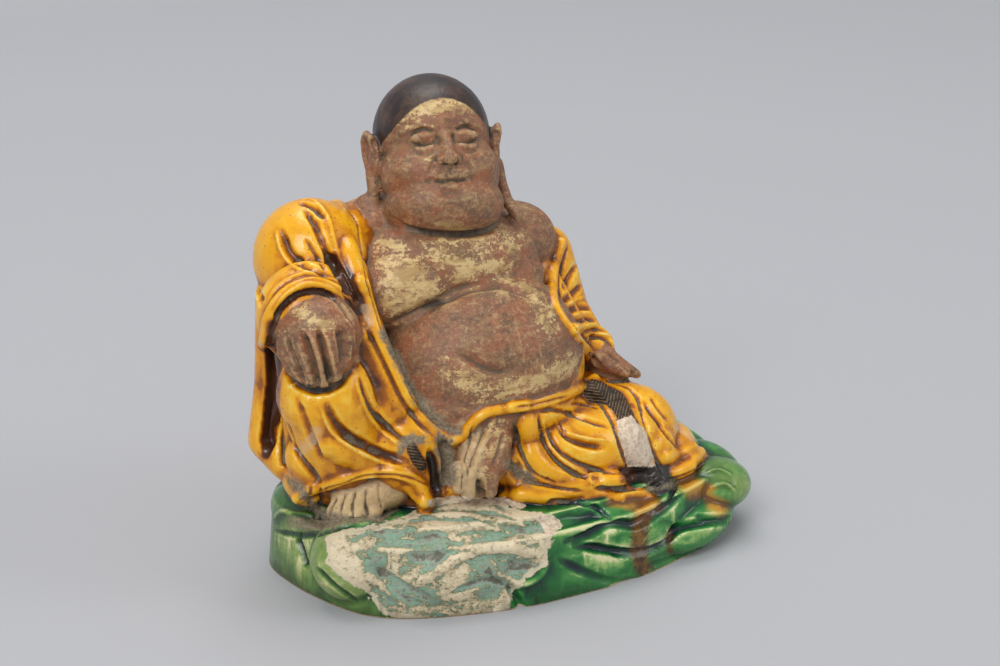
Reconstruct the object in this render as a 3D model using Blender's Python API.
"""Seated monk figure on a rock, pressed in a mould as one hollow piece of pottery. Blender 4.5, metres, +Z up.

The figure looks along -Y, and its right hand is at -X. The origin is on the floor, under the middle of the box.
Lumps of clay (balls, boulders, tapered limbs, slabs) are laid up as a modeller would. A voxel remesh fuses them
into one skin, the folds are drawn into that skin as strokes, and the foot and the hollow are cut from it.
Places below are in millimetres over the drawing's zero, with the seat of the rock at SEAT_Z.
"""

import math

import bmesh
import bpy
import numpy as np
from mathutils import Euler, Matrix, Vector
from mathutils.bvhtree import BVHTree

MM = 0.001

# Clay
VOXEL = 1.7
SMOOTH_PASSES = 4
RELAX_PASSES = 1
TRIANGLES = 11200
STROKE_SOFTNESS = 1.1

# Rock base
SEAT_Z = 37.0
BASE_HEIGHT = 37.0
BASE_LENGTH = 214.0
BASE_DEPTH = 140.0
BASE_MIDDLE_Y = 8.0
BASE_SQUARENESS = 2.5
BASE_SHELF = 8.0
FLOOR_Z = SEAT_Z - BASE_HEIGHT

# Hollow, open underneath
WALL = 10.0
ROOF = 11.0
DOME_X = -18.0
DOME_Y = 20.0
DOME_LENGTH = 58.0
DOME_DEPTH = 36.0
DOME_TOP_Z = 124.0

# Body, as the places and radii that forms share
BELLY = Vector((-15.0, 4.0, 90.5))
BELLY_RADII = (48.0, 42.0, 40.0)
CHEST = Vector((-21.0, 24.0, 128.0))
CHEST_RADII = (46.0, 31.0, 29.0)
HEAD = Vector((-20.0, 31.0, 177.0))
HEAD_PITCH = 26.0
HEAD_YAW = -16.0
LEFT_SHOULDER = Vector((19.0, 32.0, 132.5))
LEFT_ELBOW = Vector((40.0, 26.0, 96.0))
LEFT_WRIST = Vector((45.0, 6.0, 82.0))
ARM_RADIUS = 14.0
RIGHT_SHOULDER = Vector((-80.0, 34.0, 138.0))
RIGHT_CUFF = Vector((-96.0, 6.0, 124.0))
RIGHT_KNEE = Vector((-91.0, -2.0, 90.0))
RIGHT_SHIN = Vector((-82.0, 0.0, 62.0))
KNEE_RADIUS = 22.0
LEFT_HIP = Vector((10.0, 14.0, 60.0))
LEFT_KNEE = Vector((54.0, -14.0, 48.0))
THIGH_RADIUS = 24.0
COLLAR_RADIUS = 3.8
SHOULDER_BAND_RADIUS = 5.0
CUFF_RADIUS = 2.7
HEM_RADIUS = 2.8
EDGE_RADIUS = 2.6
WHISK_RADIUS = 6.5
CORD_RADIUS = 2.2

# Where the drawings of the folds are made from: the eye's bearing, its height and its distance
FRONT_BOARD = (-30.0, 19.0, 1071.0)
FRONT_BOARD_MIDDLE = (-5.0, 94.8)


def clear_scene():
    for obj in list(bpy.data.objects):
        bpy.data.objects.remove(obj, do_unlink=True)


def smooth_marks(marks, step):
    """Marks about a step apart, on a smooth curve through the given ones."""
    points = [np.array(m, float) for m in marks]
    points = [2 * points[0] - points[1], *points, 2 * points[-1] - points[-2]]
    out = []
    for a, b, c, d in zip(points, points[1:], points[2:], points[3:]):
        count = max(1, math.ceil(np.linalg.norm(c - b) / step))
        for i in range(count):
            t = i / count
            out.append(0.5 * (2 * b + (c - a) * t + (2 * a - 5 * b + 4 * c - d) * t**2 + (3 * b - a - 3 * c + d) * t**3))
    out.append(points[-2])
    return out


class Board:
    """A drawing board seen from one eye. A mark on it is (u, v) in millimetres from the drawing's zero."""

    def __init__(self, bearing, elevation, distance, middle=(0.0, 0.0)):
        a, e = math.radians(bearing), math.radians(elevation)
        self.right = Vector((math.cos(a), math.sin(a), 0))
        self.up = Vector((-math.sin(a) * math.sin(e), math.cos(a) * math.sin(e), math.cos(e)))
        forward = self.up.cross(self.right)
        self.eye = self.right * middle[0] + self.up * middle[1] - forward * distance

    def place(self, mark, y):
        """The place on the line of sight through a mark, at a depth of y millimetres."""
        aim = self.right * mark[0] + self.up * mark[1] - self.eye
        return self.eye + aim * ((y - self.eye.y) / aim.y)

    def cast(self, trees, mark):
        """The nearest place on the clay behind a mark, with its normal."""
        aim = (self.right * mark[0] + self.up * mark[1] - self.eye).normalized()
        hits = [tree.ray_cast(self.eye * MM, aim) for tree in trees]
        hits = [(hit[3], hit[0] / MM, hit[1]) for hit in hits if hit[0] is not None]
        return min(hits, key=lambda hit: hit[0])[1:] if hits else None


class Clay:
    """Closed lumps of clay, kept by the finish that each one shows."""

    def __init__(self):
        self.lumps = {}

    def group(self, finish):
        if finish not in self.lumps:
            self.lumps[finish] = bmesh.new()
        return self.lumps[finish]

    def trees(self):
        return [BVHTree.FromBMesh(lumps) for lumps in self.lumps.values()]

    def ball(self, finish, centre, radii, turn=(0, 0, 0), segments=24):
        rotation = Euler([math.radians(a) for a in turn]).to_matrix().to_4x4()
        self.placed_ball(finish, centre, radii, rotation, segments)

    def lay(self, finish, shape):
        mesh = bpy.data.meshes.new("lump")
        shape.to_mesh(mesh)
        shape.free()
        self.group(finish).from_mesh(mesh)
        bpy.data.meshes.remove(mesh)

    def placed_ball(self, finish, centre, radii, rotation, segments=24):
        place = Matrix.Translation(Vector(centre) * MM) @ rotation @ Matrix.Diagonal((*(Vector(radii) * MM), 1))
        shape = bmesh.new()
        bmesh.ops.create_uvsphere(shape, u_segments=segments, v_segments=segments * 2 // 3, radius=1, matrix=place)
        self.lay(finish, shape)

    def boulder(self, finish, centre, radii, turn=(0, 0, 0)):
        rotation = Euler([math.radians(a) for a in turn]).to_matrix().to_4x4()
        place = Matrix.Translation(Vector(centre) * MM) @ rotation @ Matrix.Diagonal((*(Vector(radii) * MM), 1))
        shape = bmesh.new()
        bmesh.ops.create_icosphere(shape, subdivisions=2, radius=1, matrix=place)
        self.lay(finish, shape)

    def limb(self, finish, stations, segments=16):
        """A run of balls joined by cones. A station is (x, y, z, radius)."""
        for *centre, radius in stations:
            self.ball(finish, centre, (radius,) * 3, segments=segments)
        for (*start, r1), (*end, r2) in zip(stations, stations[1:]):
            a, b = Vector(start) * MM, Vector(end) * MM
            along = b - a
            place = Matrix.Translation((a + b) / 2) @ along.to_track_quat("Z", "Y").to_matrix().to_4x4()
            shape = bmesh.new()
            bmesh.ops.create_cone(
                shape,
                cap_ends=True,
                segments=segments,
                radius1=r1 * MM,
                radius2=r2 * MM,
                depth=along.length,
                matrix=place,
            )
            self.lay(finish, shape)

    def seen_limb(self, finish, board, stations):
        """A limb placed by its marks on a board. A station is (u, v, y, radius)."""
        self.limb(finish, [(*board.place((u, v), y), radius) for u, v, y, radius in stations])

    def roll(self, finish, board, marks, radius, lift=0.0, step=4.0):
        """A roll of clay laid on what is there, along a line drawn on a board."""
        trees = self.trees()
        hits = [board.cast(trees, mark) for mark in smooth_marks(marks, step)]
        stations = [(*(place + normal * lift), radius) for place, normal in (hit for hit in hits if hit)]
        self.limb(finish, stations, segments=10)

    def slab(self, finish, outline, low, high, top_share=1.0):
        shape = bmesh.new()
        face = shape.faces.new([shape.verts.new(Vector((p.x, p.y, low)) * MM) for p in outline])
        top = bmesh.ops.extrude_face_region(shape, geom=[face])["geom"]
        verts = [g for g in top if isinstance(g, bmesh.types.BMVert)]
        bmesh.ops.translate(shape, verts=verts, vec=(0, 0, (high - low) * MM))
        middle = Matrix.Translation(Vector((0, -BASE_MIDDLE_Y, 0)) * MM)
        bmesh.ops.scale(shape, verts=verts, vec=(top_share, top_share, 1), space=middle)
        bmesh.ops.recalc_face_normals(shape, faces=shape.faces[:])
        self.lay(finish, shape)


def base_outline(inset=0.0):
    """The rock's outline: a rounded oblong with a slow, uneven wave."""
    points = []
    for step in range(48):
        angle = 2 * math.pi * step / 48
        c, s = math.cos(angle), math.sin(angle)
        wave = 1 + 0.02 * math.sin(3 * angle + 0.6) + 0.012 * math.sin(7 * angle)
        x = (BASE_LENGTH / 2 * wave - inset) * math.copysign(abs(c) ** (2 / BASE_SQUARENESS), c)
        y = (BASE_DEPTH / 2 * wave - inset) * math.copysign(abs(s) ** (2 / BASE_SQUARENESS), s)
        points.append(Vector((x, y + BASE_MIDDLE_Y)))
    return points


def model_rock(clay):
    clay.slab("rock", base_outline(), FLOOR_Z - 8, SEAT_Z - 6, 0.97)
    clay.slab("rock", base_outline(BASE_SHELF), FLOOR_Z, SEAT_Z, 0.97)
    clay.boulder("rock", (-88, -20, SEAT_Z - 17), (20, 19, 19))
    clay.boulder("rock", (-91, 22, SEAT_Z - 12), (13, 26, 13))
    clay.boulder("rock", (-44, -38, SEAT_Z - 21), (38, 22, 21))
    clay.boulder("rock", (-8, -46, SEAT_Z - 20), (30, 17, 19))
    clay.boulder("rock", (30, -42, SEAT_Z - 22), (34, 20, 18), (0, 8, 10))
    clay.boulder("rock", (24, -50, SEAT_Z - 10), (18, 10, 8), (0, 6, 8))
    clay.boulder("rock", (66, -38, SEAT_Z - 26), (30, 20, 13), (0, -6, 16))
    clay.boulder("rock", (88, -32, SEAT_Z - 15), (20, 17, 12), (0, 6, 28))
    clay.boulder("rock", (95, -14, SEAT_Z - 18), (16, 24, 15), (0, 4, 0))
    clay.boulder("rock", (-34, -32, SEAT_Z - 8), (34, 16, 11))
    clay.boulder("rock", (90, 40, SEAT_Z - 14), (16, 26, 15))
    clay.boulder("rock", (50, 62, SEAT_Z - 18), (34, 13, 17))
    clay.boulder("rock", (-14, 66, SEAT_Z - 19), (36, 10, 17))
    clay.boulder("rock", (-64, 56, SEAT_Z - 17), (24, 16, 17))


def model_body(clay):
    clay.ball("skin", BELLY, BELLY_RADII)
    clay.ball("skin", BELLY + Vector((-4, -7, -12)), (43, 34, 27))
    clay.ball("skin", CHEST, CHEST_RADII)
    clay.ball("skin", CHEST + Vector((-24, -13, -3)), (25, 18, 19))
    clay.ball("skin", CHEST + Vector((20, -11, -6)), (23, 18, 17))
    clay.ball("skin", LEFT_SHOULDER, (20, 19, 17))
    clay.ball("skin", CHEST + Vector((-2, 10, 20)), (36, 20, 14))


def head_frame():
    """Turns (right, forward, up) of the head into the drawing's axes: turned by HEAD_YAW and raised by HEAD_PITCH."""
    pitch = math.radians(HEAD_PITCH)
    right = Vector((1, 0, 0))
    forward = Vector((0, -math.cos(pitch), math.sin(pitch)))
    up = Vector((0, math.sin(pitch), math.cos(pitch)))
    turn = Matrix.Rotation(math.radians(HEAD_YAW), 3, "Z")
    return turn @ Matrix((right, forward, up)).transposed()


def model_head(clay):
    frame = head_frame()
    rotation = frame.to_4x4()

    def ball(finish, place, radii):
        clay.placed_ball(finish, HEAD + frame @ Vector(place), radii, rotation)

    def limb(finish, stations):
        clay.limb(finish, [(*(HEAD + frame @ Vector(place)), radius) for *place, radius in stations])

    ball("skin", (0, -4, 9), (25, 27, 26))
    ball("skin", (0, 4, -10), (26, 22, 22))
    ball("skin", (0, 4, -24), (26.5, 22.5, 16))
    ball("skin", (0, 15, -25), (11, 10, 7))
    for side in (-1, 1):
        ball("skin", (side * 12.5, 13.5, -9), (10.5, 9.5, 10))
        limb("skin", [(side * 3.5, 21, 7.5, 2.0), (side * 10, 19.6, 9.4, 2.2), (side * 17, 14.6, 7, 1.8)])
        ball("skin", (side * 9.8, 17.4, 2.6), (5.8, 4.4, 3.6))
        ball("skin", (side * 3.9, 24, -8.2), (2.7, 3, 2.4))
        limb("skin", [(side * 6.6, 21.4, -17.4, 1.4), (side * 2.8, 23.2, -17, 2.2), (0, 23.4, -17.4, 2.4)])
        ball("skin", (side * 27.5, -4, 1), (3.6, 7.0, 11))
        limb("skin", [(side * 28, -6, -5, 3.2), (side * 28.4, -4, -14, 3.0), (side * 29.6, -2, -22, 3.0)])
        limb("skin", [(side * 29.6, -2, -22, 3.0), (side * 33.6, 1.4, -30.5, 2.8)])
    ball("hair", (0, -6.5, 10), (25.8, 27.2, 27.0))
    limb("skin", [(0, 20.4, 6.5, 2.2), (0, 23.6, -1, 2.7), (0, 26, -6.6, 3.4)])
    ball("skin", (0, 26.2, -7.4), (3.9, 3.6, 3.2))
    ball("skin", (0, 18.6, -25), (6.5, 5, 4.6))


def model_torso_robe(clay, board):
    clay.ball("robe", (-20, 0, 50), (62, 32, 24))
    clay.ball("robe", (22, 2, 48), (48, 34, 24))
    clay.ball("robe", (-60, 14, 50), (40, 32, 26))
    clay.ball("robe", (-19, 38, 108), (56, 36, 50))
    clay.ball("robe", (-16, 24, 64), (78, 42, 34))
    clay.limb("robe", [(-70, 34, 140, 18), (-46, 44, 138, 20), (-20, 48, 142, 20), (14, 44, 130, 16)])
    clay.limb("robe", [(-76, 44, 52, 20), (-50, 56, 52, 18), (-8, 60, 52, 17), (36, 56, 50, 17), (60, 36, 48, 18)])
    clay.limb("robe", [(-84, 46, 43, 12), (-50, 61, 42, 12), (-8, 65, 42, 11), (38, 61, 42, 12), (70, 40, 42, 12)])
    clay.ball("robe", (-76, 20, 104), (18, 28, 48))
    clay.limb("robe", [(-78, 30, 150, 12), (-77, 14, 132, 12), (-74, 0, 108, 12), (-68, -10, 84, 12)])
    upper = [(-82, 156), (-77.5, 148.5), (-74, 137), (-71.5, 128), (-68.2, 117.5)]
    lower = [(-68.2, 117.5), (-64.6, 106), (-60.6, 93), (-54.2, 78.6), (-47.4, 65.2), (-39, 54), (-30.5, 48), (-25, 46.5)]
    lap = [(-27, 46), (-22, 48.5), (-18, 54), (-12, 58.5), (-4, 60.5), (4, 61.5)]
    clay.roll("robe", board, upper, SHOULDER_BAND_RADIUS, lift=-2.0)
    clay.roll("robe", board, lower, COLLAR_RADIUS, lift=-0.6)
    clay.roll("robe", board, lap, EDGE_RADIUS, lift=0.6)
    clay.ball("robe", (-60, -14, 62), (18, 14, 22), (0, 24, 0))


def model_right_sleeve(clay, board):
    clay.ball("robe", RIGHT_SHOULDER, (25, 26, 26))
    clay.ball("robe", RIGHT_CUFF, (22, 18, 22))
    clay.limb("robe", [(-97, 34, 124, 9), (-98, 36, 84, 9), (-101, 36, 58, 10), (-98, 24, 51, 9)])
    clay.limb("robe", [(-95, 18, 112, 11), (-96, 16, 76, 8), (-96, 12, 52, 7)])
    clay.ball("robe", (-87, 34, 82), (17, 20, 42))
    cuff = [(-112, 90), (-110.2, 101), (-104.6, 110.4), (-97, 115.8), (-87.7, 117.4), (-76.6, 112.4), (-69.8, 102.5), (-67, 94)]
    clay.roll("robe", board, cuff, CUFF_RADIUS)


def model_right_leg(clay, board):
    clay.limb("robe", [(-50, 20, 62, 26), (*RIGHT_KNEE, KNEE_RADIUS), (*RIGHT_SHIN, KNEE_RADIUS - 2)])
    clay.limb("robe", [(-96, 4, 60, 12), (-99, 4, 45, 7)])
    clay.limb("robe", [(-68, -8, 64, 16), (-60, -18, 54, 9), (-57, -24, 44, 5), (-58, -27, 38.5, 3.6)])
    clay.ball("robe", (-50, -14, 56), (22, 14, 24))
    clay.ball("robe", (-94, 14, 44), (14, 14, 14))
    hem = [(-97, 20), (-91, 24), (-84, 26), (-77, 28.5), (-69, 31), (-60, 32), (-51.5, 31.5), (-44.5, 28.5), (-40.5, 24), (-38, 19)]
    clay.roll("robe", board, hem, HEM_RADIUS)


def model_left_arm(clay, board):
    clay.limb("robe", [(36, 34, 122, ARM_RADIUS), (*LEFT_ELBOW, ARM_RADIUS), (*LEFT_WRIST, ARM_RADIUS - 4)])
    clay.limb("robe", [(24, 24, 120, 10), (34, 6, 92, 9)])
    edge = [(23, 136), (19.5, 124), (18.8, 114), (20.5, 106), (27, 96), (34, 87), (40, 79)]
    clay.roll("robe", board, edge, EDGE_RADIUS, lift=-0.4)


def model_left_leg(clay, board):
    clay.limb("robe", [(*LEFT_HIP, THIGH_RADIUS + 2), (*LEFT_KNEE, THIGH_RADIUS - 2)])
    clay.ball("robe", LEFT_KNEE + Vector((13, -4, -9)), (18, 16, 13))
    clay.ball("robe", LEFT_KNEE + Vector((26, -6, -16)), (14, 12, 7), (0, 20, 0))
    clay.limb("robe", [(52, -26, 44, 16), (6, -30, 54, 15)])
    clay.ball("robe", (16, -26, 52), (46, 20, 18))
    clay.roll("robe", board, [(10, 54), (16, 57), (26, 61), (36, 66)], 7.0, lift=-2.5)
    clay.roll("robe", board, [(0, 61), (10, 62.5), (20, 65.5), (30, 69.5), (38, 74)], EDGE_RADIUS)
    flap = [(6, 56), (7, 51), (8.4, 44.5), (11, 37.5), (17.5, 31), (27, 27.5), (36, 26)]
    clay.roll("robe", board, flap, SHOULDER_BAND_RADIUS, lift=-1.8)
    clay.limb("robe", [(-26, -34, 44, 5), (-4, -42, 42, 6), (24, -46, 41, 6)])


def model_hands(clay, board):
    clay.seen_limb("skin", board, [(-88, 94, -5, 18.5), (-87.5, 87, -9, 15.5), (-87, 80, -14, 10)])
    for root, tip in (
        ((-103, 86, -7), (-96.5, 75, -13)),
        ((-97, 90, -13.5), (-91, 73, -18)),
        ((-90, 92, -18), (-85, 73, -21)),
        ((-83.5, 92, -20), (-79.5, 76, -22)),
    ):
        clay.seen_limb("skin", board, [(*root, 3.2), (*tip, 3.0)])
    clay.seen_limb("skin", board, [(-75, 100, -14, 4), (-71, 92, -15, 3.6), (-71, 84, -16, 3.2)])
    clay.ball("skin", (50, -3, 78), (13, 10, 7), (0, 24, -20))
    clay.seen_limb("skin", board, [(41, 89, 0, 5), (47, 84, -4, 5), (54, 79, -8, 4.2), (59, 75, -11, 3.4)])
    clay.seen_limb("skin", board, [(39, 85, -6, 4.6), (45, 80, -10, 4.4), (52, 75.5, -13, 3.6)])


def model_feet(clay, board):
    clay.seen_limb("skin", board, [(-6.5, 54, -30, 6), (-9.5, 46.5, -31, 9.8), (-12.5, 38.5, -33, 11.8), (-16.5, 30, -35, 10)])
    for root, tip in (((-24, 33), (-24, 25)), ((-19.5, 30), (-19.5, 22)), ((-9, 31), (-9.6, 23))):
        clay.seen_limb("skin", board, [(*root, -42, 3.8), (*tip, -43, 3.2)])
    clay.limb("skin", [(-66, -14, 47, 9), (-76, -14, 46, 9), (-86, -10, 43, 8)])
    for root, tip in (
        ((-88, -8, 43), (-95, -12, 39.5)),
        ((-85, -12, 43), (-92, -15, 39.5)),
        ((-81, -15, 43), (-87, -18, 39.5)),
        ((-75, -17, 43), (-80, -21, 39.5)),
    ):
        clay.limb("skin", [(*root, 4.0), (*tip, 3.2)])


def model_whisk(clay, board):
    """The band of a whisk across the left thigh, and the stub where its end has broken away."""
    for marks in ([(38, 69), (44, 66), (50, 60)], [(53, 54), (56, 46), (59, 38)], [(61, 33), (66, 29), (71, 26)]):
        clay.roll("rope", board, marks, WHISK_RADIUS, lift=-3.4)
    clay.roll("rope", board, [(-43, 44), (-41, 37.5), (-38.5, 32)], CORD_RADIUS, lift=0.8)


def fuse(clay, voxel, passes):
    """All the lumps as one skin, smoothed."""
    whole = bmesh.new()
    for lumps in clay.lumps.values():
        part = bpy.data.meshes.new("lumps")
        lumps.to_mesh(part)
        whole.from_mesh(part)
        bpy.data.meshes.remove(part)
    mesh = bpy.data.meshes.new("clay")
    whole.to_mesh(mesh)
    whole.free()
    obj = bpy.data.objects.new("clay", mesh)
    bpy.context.scene.collection.objects.link(obj)
    remesh = obj.modifiers.new("fuse", "REMESH")
    remesh.mode = "VOXEL"
    remesh.voxel_size = voxel * MM
    smooth = obj.modifiers.new("smooth", "SMOOTH")
    smooth.iterations = passes
    smooth.factor = 0.5
    graph = bpy.context.evaluated_depsgraph_get()
    fused = bpy.data.meshes.new_from_object(obj.evaluated_get(graph))
    bpy.data.objects.remove(obj)
    return fused


class Chisel:
    """Strokes on a mesh: each one is drawn on a board and pushed in, or raised, along the skin's normals."""

    def __init__(self, mesh):
        self.mesh = mesh
        count = len(mesh.vertices)
        self.places = np.empty(count * 3, np.float32)
        mesh.vertices.foreach_get("co", self.places)
        self.places = self.places.reshape(-1, 3) / MM
        self.normals = np.empty(count * 3, np.float32)
        mesh.vertex_normals.foreach_get("vector", self.normals)
        self.normals = self.normals.reshape(-1, 3)
        self.moves = np.zeros((count, 3), np.float32)
        shape = bmesh.new()
        shape.from_mesh(mesh)
        self.tree = BVHTree.FromBMesh(shape)
        shape.free()

    def stroke(self, board, marks, width, depth, step=1.5):
        hits = [board.cast([self.tree], mark) for mark in smooth_marks(marks, step)]
        line = np.array([tuple(hit[0]) for hit in hits if hit], np.float32)
        if len(line) < 2:
            return
        ends = np.linspace(0, 1, len(line))
        taper = np.clip(np.minimum(ends, 1 - ends) * 6 + 0.25, 0, 1)
        if np.linalg.norm(np.diff(line, axis=0), axis=1).sum() < width:
            taper[:] = 1
        near = np.all((self.places > line.min(0) - width) & (self.places < line.max(0) + width), axis=1).nonzero()[0]
        gap = np.linalg.norm(self.places[near, None] - line[None], axis=2) / (width / 2 * (0.5 + 0.5 * taper))
        nearest = gap.argmin(1)
        gap = gap[np.arange(len(near)), nearest]
        push = depth * taper[nearest] * np.clip(1 - gap**2, 0, 1) ** STROKE_SOFTNESS
        self.moves[near] -= self.normals[near] * push[:, None]

    def finish(self):
        moved = (self.places + self.moves) * MM
        self.mesh.vertices.foreach_set("co", moved.astype(np.float32).ravel())
        self.mesh.update()


def carve(chisel, board, strokes):
    """Draws a list of (width, depth, mark, mark, ...)."""
    for width, depth, *marks in strokes:
        chisel.stroke(board, marks, width, depth)


def draw_right_side(chisel, board):
    """Folds of the right shoulder, the sleeve with its slot, and the raised leg."""
    carve(chisel, board, (
        (4.2, 2.2, (-96, 154), (-90, 152), (-84.5, 147)),
        (4.4, 2.4, (-93.5, 151), (-89.5, 145.3), (-86.7, 138.8), (-83, 130.5), (-79, 123)),
        (8.5, 3.2, (-84, 132), (-79.5, 123), (-74.5, 114), (-70, 106.5), (-66.5, 99)),
        (5.5, 2.8, (-104.2, 141), (-101, 132), (-95.5, 127), (-88, 123.3), (-81.5, 120.5)),
        (4.8, 2.2, (-117.3, 130), (-117, 118), (-113, 109)),
        (9, 6.0, (-108, 92), (-107.5, 82), (-108, 65), (-110, 50), (-111.5, 40)),
        (3.6, 2.2, (-108, 96), (-105, 105), (-98, 111.6), (-90, 113.6), (-83, 112.2), (-76.5, 106.4), (-71.2, 97)),
        (4.6, 2.2, (-100.8, 53), (-98.2, 44), (-94.3, 36.2), (-86.6, 27.6)),
        (5.8, 2.6, (-83.5, 62), (-78.5, 52), (-69.4, 45.4), (-58, 39.8), (-47.5, 36.6)),
        (3.6, 2.0, (-68.3, 74), (-65.8, 66.8), (-61.8, 58.2), (-54.2, 50.6), (-46.5, 44.6)),
        (3.6, 1.8, (-66, 98), (-62.2, 90), (-55.8, 77), (-49.6, 64.5), (-42, 54.4), (-36, 48.5)),
        (9, 1.6, (-70, 92), (-64.5, 80), (-57.5, 66), (-50, 55.5)),
        (5, 1.6, (-97, 64), (-94, 56), (-91, 48), (-88, 42), (-86, 38)),
        (4, 2.4, (-104, 54), (-103, 45), (-104, 38), (-103, 34)),
        (8, 4.4, (-36.5, 43), (-34, 37), (-33, 29), (-32, 21)),
    ))


def draw_left_side(chisel, board):
    """Folds of the left thigh and of the left sleeve."""
    carve(chisel, board, (
        (3.6, 2.0, (12.8, 57.5), (13.8, 50), (16.5, 43), (21, 37), (27, 32.2), (34, 28.8)),
        (3.6, 1.8, (13.5, 59), (19, 60), (25, 58.6), (33, 55.8), (43, 52.3)),
        (4.6, 2.4, (21.8, 52.8), (25, 48.4), (30, 45.6), (36, 43.8), (42, 43)),
        (3.6, 1.6, (15.8, 53), (18.5, 46), (23, 40.5), (30, 36), (38, 33), (47, 31)),
        (3.8, 2.4, (38, 24.2), (46, 24), (55.7, 24.6), (64, 26), (69, 28.5)),
        (7, 2.4, (2, 36), (2.5, 31), (5, 28)),
        (3.4, 1.6, (31, 69), (36, 67), (41, 62), (45, 56), (47.5, 50), (50, 42), (53, 33)),
        (3.4, 1.6, (46, 72), (53, 70), (57, 66), (59, 60), (61, 53), (63, 47), (66, 38), (68, 33), (73, 27)),
        (3.4, 1.8, (60, 64), (64, 58), (68, 52), (73, 46), (75, 43)),
        (3.4, 1.8, (1, 54), (3, 48), (4, 42), (7, 35), (12, 30), (20, 27)),
        (4.2, 1.8, (31, 127), (27, 121), (23.6, 115)),
        (4.2, 1.8, (32.5, 117), (28, 112.6), (23.6, 109.4)),
        (4.0, 1.8, (37.5, 106), (31, 106.6), (26, 104.8)),
        (3.8, 1.8, (41, 101), (34, 101), (29, 99.4)),
        (3.6, 1.6, (47, 88.6), (43, 91.6), (39.5, 93), (34, 92.4)),
        (3.4, 1.4, (31, 91), (36, 85), (41, 79)),
    ))


def draw_body(chisel, board):
    """Creases of the chest and the belly, and the gaps between the fingers and the toes."""
    carve(chisel, board, (
        (8, 2.2, (-56, 99), (-48, 102), (-42, 105), (-35, 108.5), (-28, 111), (-22, 114), (-12, 116), (-2, 116), (9, 111)),
        (7, 1.7, (-24, 86), (-18, 83), (-12, 79), (-7, 77.5), (-2, 77.5), (4, 80)),
        (6, 1.6, (-55, 148), (-48, 143), (-40, 141), (-30, 140), (-20, 140), (-10, 142), (-5, 146)),
        (3.6, 2.6, (-101.5, 92), (-99.5, 86), (-96.5, 79), (-93.5, 71)),
        (3.8, 2.8, (-94.5, 95), (-92, 88), (-89.5, 80), (-87.5, 70)),
        (3.8, 2.8, (-87.5, 96), (-85.5, 89), (-83.5, 81), (-81.5, 71)),
        (9, 2.8, (-78.5, 96), (-75.8, 90), (-75, 82)),
        (5, 2.6, (-103, 78), (-97, 71.5), (-89, 68.5), (-80, 70.5), (-73, 77)),
        (5, 3.6, (-14.5, 28), (-14, 24), (-14, 20)),
    ))


def draw_rock(chisel, board):
    """Creases of the rock, and the ledges of its worn front."""
    carve(chisel, board, (
        (6, 2.6, (25, 0), (33, 2), (45, 8), (55, 8), (60, 10), (70, 15), (78, 22)),
        (6, 3.4, (29, -2), (38, -3), (50, -5), (60, -5), (70, -1), (73, 4), (78, 7), (88, 9), (98, 9), (103, 8)),
        (6, 2.8, (-97, 2), (-95, -4), (-93, -11)),
        (4, 1.4, (-107, 5), (-100, 3.5), (-90, 3), (-80, 6), (-70, 8)),
        (5, 3.2, (-1, -19), (2, -25), (6, -31)),
        (5, 1.6, (22, -8), (34, -14), (46, -18), (60, -18)),
        (5, 1.6, (-74, 5), (-60, 8), (-45, 10), (-30, 11), (-10, 9), (8, 4)),
        (7, -1.2, (-72, -3), (-60, 1), (-48, 1), (-38, 4)),
        (6, -1.6, (-44, -20), (-30.3, -11), (-19.8, -5), (-10, -3), (1, -3), (11, -5)),
        (5, -1.6, (-10, -7.5), (-5, -15), (4, -19), (12, -16), (17, -9)),
        (9, 2.6, (1, -11), (7, -11.4)),
        (9, 1.8, (-40, -6), (-35, -5)),
        (5, 1.4, (-62, -11), (-50, -19), (-36, -27)),
        (5, 1.4, (-26, -23), (-12, -18), (0, -18)),
    ))


def draw_back_folds(chisel, board):
    """The plain drapes behind, which fall from the shoulders and the left arm."""
    carve(chisel, board, (
        (9, 2.6, (-44, 138), (-38, 110), (-36, 84), (-40, 58)),
        (9, 2.4, (-16, 140), (-12, 112), (-8, 84), (-10, 56)),
        (9, 2.6, (14, 138), (18, 112), (20, 86), (24, 58)),
        (8, 2.2, (40, 130), (46, 104), (52, 80), (56, 58)),
        (8, 2.2, (-66, 126), (-62, 100), (-62, 76), (-66, 56)),
        (10, 3.0, (-90, 20), (-50, 14), (-10, 20), (40, 12), (88, 18)),
    ))


def hollow_rings():
    """(height, half length, half depth, x, y) of the hollow, from under the floor to the top of the dome."""
    length = BASE_LENGTH / 2 - WALL
    depth = BASE_DEPTH / 2 - WALL
    roof = SEAT_Z - ROOF
    rings = [(FLOOR_Z - WALL, length, depth, 0, BASE_MIDDLE_Y), (roof - 4, length - 3, depth - 3, 0, BASE_MIDDLE_Y)]
    rings.append((roof, length - 8, depth - 8, 0, BASE_MIDDLE_Y))
    steps = 6
    for step in range(steps):
        angle = math.radians(84 * step / (steps - 1))
        height = roof + (DOME_TOP_Z - roof) * math.sin(angle)
        share = math.cos(angle) ** 0.8
        rings.append((height, DOME_LENGTH * share, DOME_DEPTH * share, DOME_X, DOME_Y))
    return rings


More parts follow.
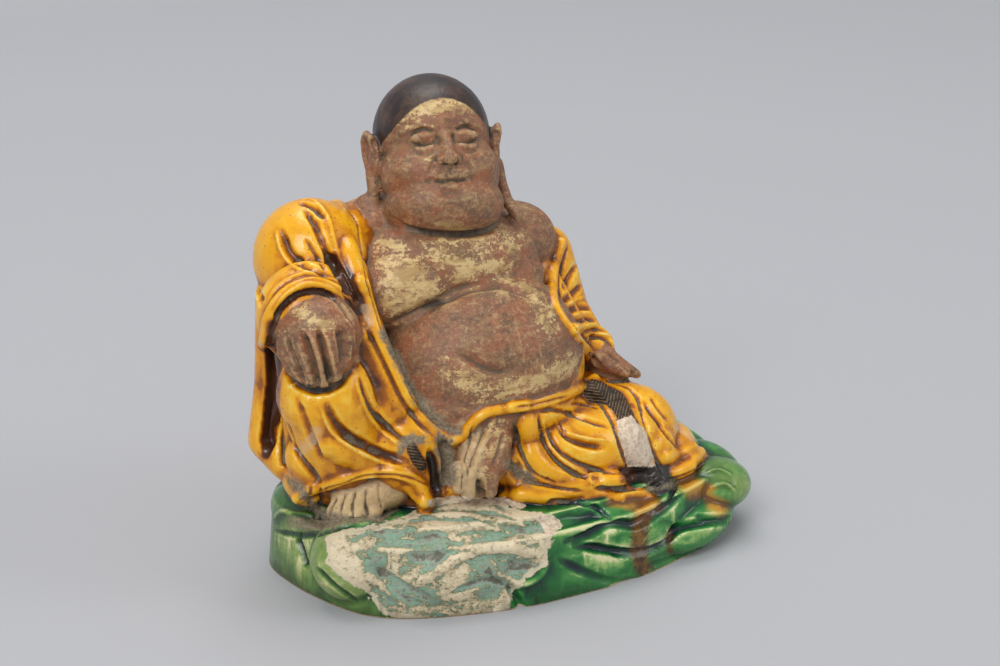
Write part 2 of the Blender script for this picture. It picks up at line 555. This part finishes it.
def hollow_cutter():
    """The hollow as a loft: an inset of the rock's outline, then a dome under the body."""
    shape = bmesh.new()
    sides = 32
    previous = None
    for height, half_length, half_depth, x, y in hollow_rings():
        ring = bmesh.ops.create_circle(shape, segments=sides, radius=MM)["verts"]
        for vert in ring:
            for axis, half in ((0, half_length), (1, half_depth)):
                share = vert.co[axis] / MM
                vert.co[axis] = math.copysign(abs(share) ** (2 / BASE_SQUARENESS), share) * half * MM
            vert.co += Vector((x, y, height)) * MM
        edges = [edge for vert in ring for edge in vert.link_edges if edge.other_vert(vert) in ring]
        edges = list(dict.fromkeys(edges))
        if previous:
            bmesh.ops.bridge_loops(shape, edges=previous + edges)
        previous = edges
    bmesh.ops.holes_fill(shape, edges=shape.edges[:], sides=0)
    bmesh.ops.recalc_face_normals(shape, faces=shape.faces[:])
    return cutter("hollow_cutter", shape)


def floor_cutter():
    shape = bmesh.new()
    size = BASE_LENGTH * 2 * MM
    place = Matrix.Translation((0, 0, FLOOR_Z * MM - size / 2))
    bmesh.ops.create_cube(shape, size=size, matrix=place)
    return cutter("floor_cutter", shape)


def cutter(name, shape):
    mesh = bpy.data.meshes.new(name)
    shape.to_mesh(mesh)
    shape.free()
    obj = bpy.data.objects.new(name, mesh)
    bpy.context.scene.collection.objects.link(obj)
    obj.hide_render = True
    obj.display_type = "WIRE"
    return obj


def glaze_material():
    material = bpy.data.materials.new("amber_glaze")
    material.use_nodes = True
    shader = material.node_tree.nodes["Principled BSDF"]
    shader.inputs["Base Color"].default_value = (0.52, 0.26, 0.04, 1)
    shader.inputs["Roughness"].default_value = 0.35
    shader.inputs["Metallic"].default_value = 0.0
    return material


def settle(objects, figure):
    """Moves all so that the floor's origin is under the middle of the piece's box."""
    graph = bpy.context.evaluated_depsgraph_get()
    corners = [Vector(corner) for corner in figure.evaluated_get(graph).bound_box]
    low = Vector([min(corner[axis] for corner in corners) for axis in range(3)])
    high = Vector([max(corner[axis] for corner in corners) for axis in range(3)])
    for obj in objects:
        obj.location -= Vector(((low.x + high.x) / 2, (low.y + high.y) / 2, low.z))


def main():
    clear_scene()
    front = Board(*FRONT_BOARD, FRONT_BOARD_MIDDLE)
    back = Board(180.0, 0.0, FRONT_BOARD[2])
    clay = Clay()
    model_rock(clay)
    model_body(clay)
    model_head(clay)
    model_torso_robe(clay, front)
    model_left_arm(clay, front)
    model_left_leg(clay, front)
    model_right_leg(clay, front)
    model_right_sleeve(clay, front)
    model_hands(clay, front)
    model_feet(clay, front)
    model_whisk(clay, front)
    mesh = fuse(clay, VOXEL, SMOOTH_PASSES)
    chisel = Chisel(mesh)
    for draw in (draw_right_side, draw_left_side, draw_body, draw_rock):
        draw(chisel, front)
    draw_back_folds(chisel, back)
    chisel.finish()
    figure = bpy.data.objects.new("figure", mesh)
    bpy.context.scene.collection.objects.link(figure)
    mesh.materials.append(glaze_material())
    relax = figure.modifiers.new("relax", "SMOOTH")
    relax.iterations = RELAX_PASSES
    relax.factor = 0.4
    decimate = figure.modifiers.new("facets", "DECIMATE")
    decimate.ratio = TRIANGLES / (2 * len(mesh.polygons))
    cutters = [floor_cutter(), hollow_cutter()]
    for tool in cutters:
        cut = figure.modifiers.new(tool.name, "BOOLEAN")
        cut.operation = "DIFFERENCE"
        cut.object = tool
    settle([figure, *cutters], figure)


main()
